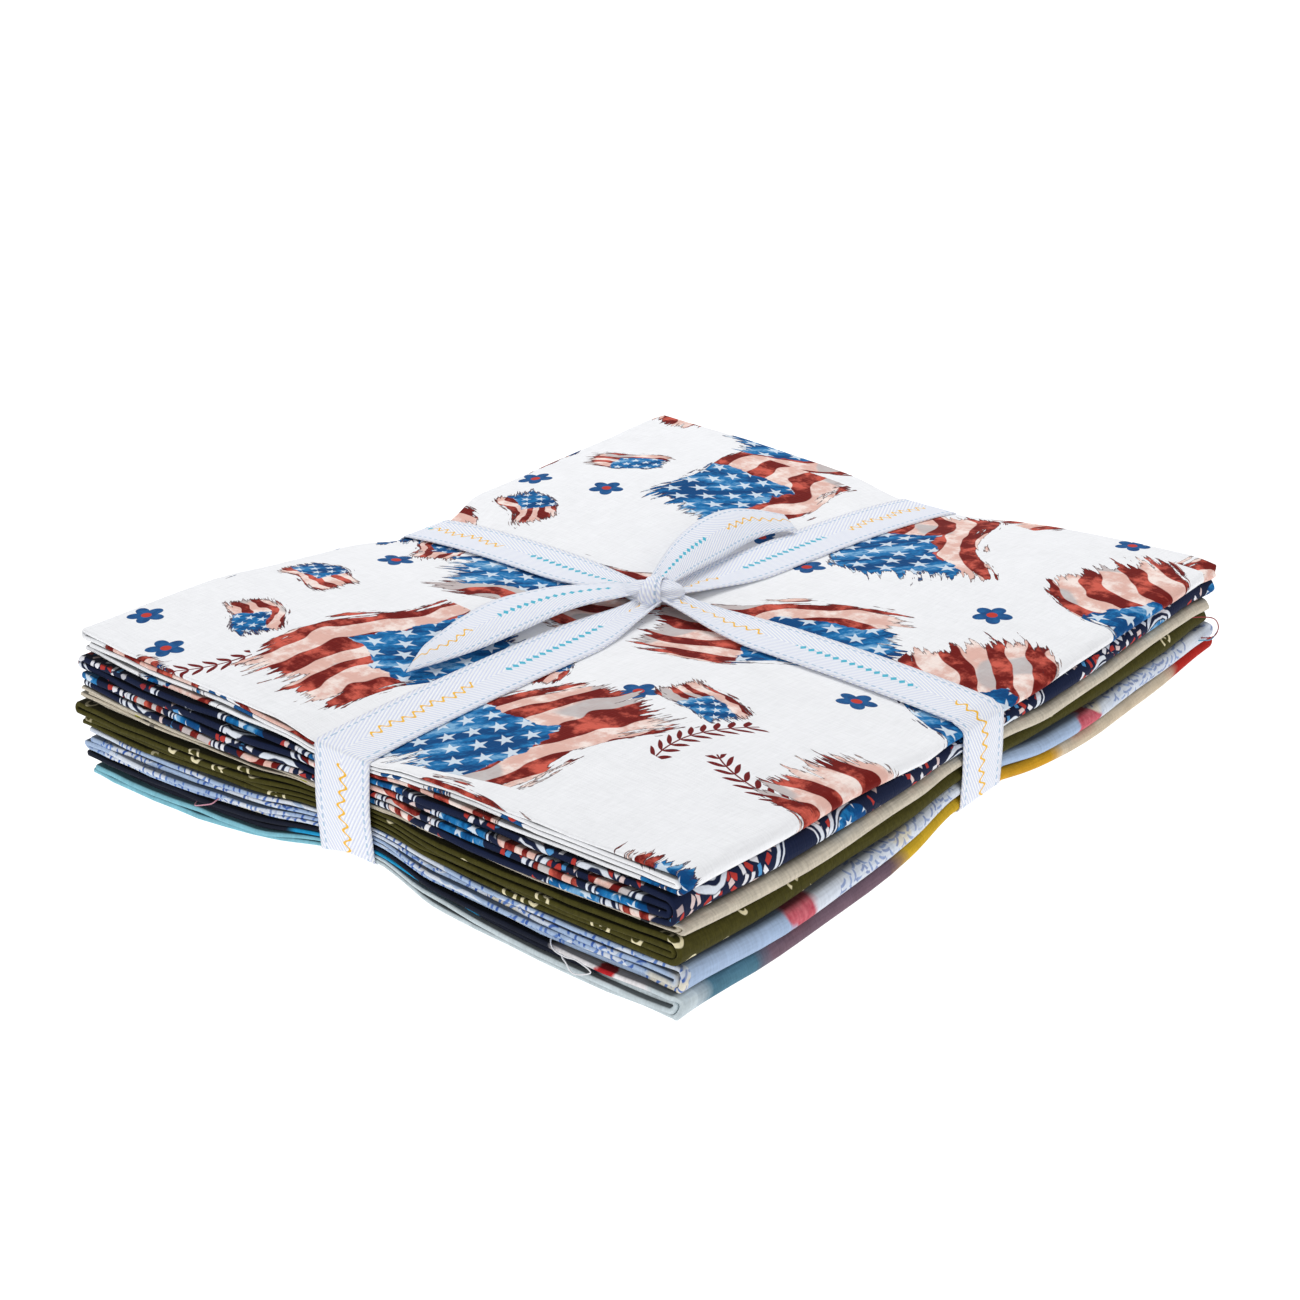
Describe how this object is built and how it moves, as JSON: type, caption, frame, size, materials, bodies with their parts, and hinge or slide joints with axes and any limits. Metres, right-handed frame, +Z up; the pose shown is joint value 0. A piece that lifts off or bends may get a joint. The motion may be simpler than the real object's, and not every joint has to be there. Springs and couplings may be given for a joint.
{
  "type": "fabric bundle",
  "caption": "Stack of folded quilting cotton cuts in prints and plains, tied crosswise with a twill ribbon that is knotted on top and has free ends.",
  "frame": {"origin": "middle of the bundle's outline, on the surface it rests on", "axes": "+Z up, +Y along the longer side, away from the side that shows the ends of the folds; +X towards the side that shows each cloth's outer fold"},
  "size_m": [0.2337, 0.287, 0.047],
  "materials": {
    "cloth_1_colour_blocks": "printed quilting cotton in soft patches of colour",
    "cloth_2_pale_blue": "printed quilting cotton, pale blue with small marks",
    "cloth_3_olive": "printed quilting cotton, dark olive green with small pale marks",
    "cloth_4_natural": "quilting cotton, plain natural beige",
    "cloth_5_navy": "printed quilting cotton, dark navy with small pale and red marks",
    "cloth_6_white_print": "printed quilting cotton, white with watercolour shapes in blue and red",
    "ribbon_tie": "herringbone cotton twill ribbon with a light blue thread along each edge"
  },
  "bodies": {
    "root": {"cloth_1_colour_blocks": "cloth_1_colour_blocks", "cloth_2_pale_blue": "cloth_2_pale_blue", "cloth_3_olive": "cloth_3_olive", "cloth_4_natural": "cloth_4_natural", "cloth_5_navy": "cloth_5_navy", "cloth_6_white_print": "cloth_6_white_print", "ribbon_tie": "ribbon_tie"}
  },
  "joints": []
}
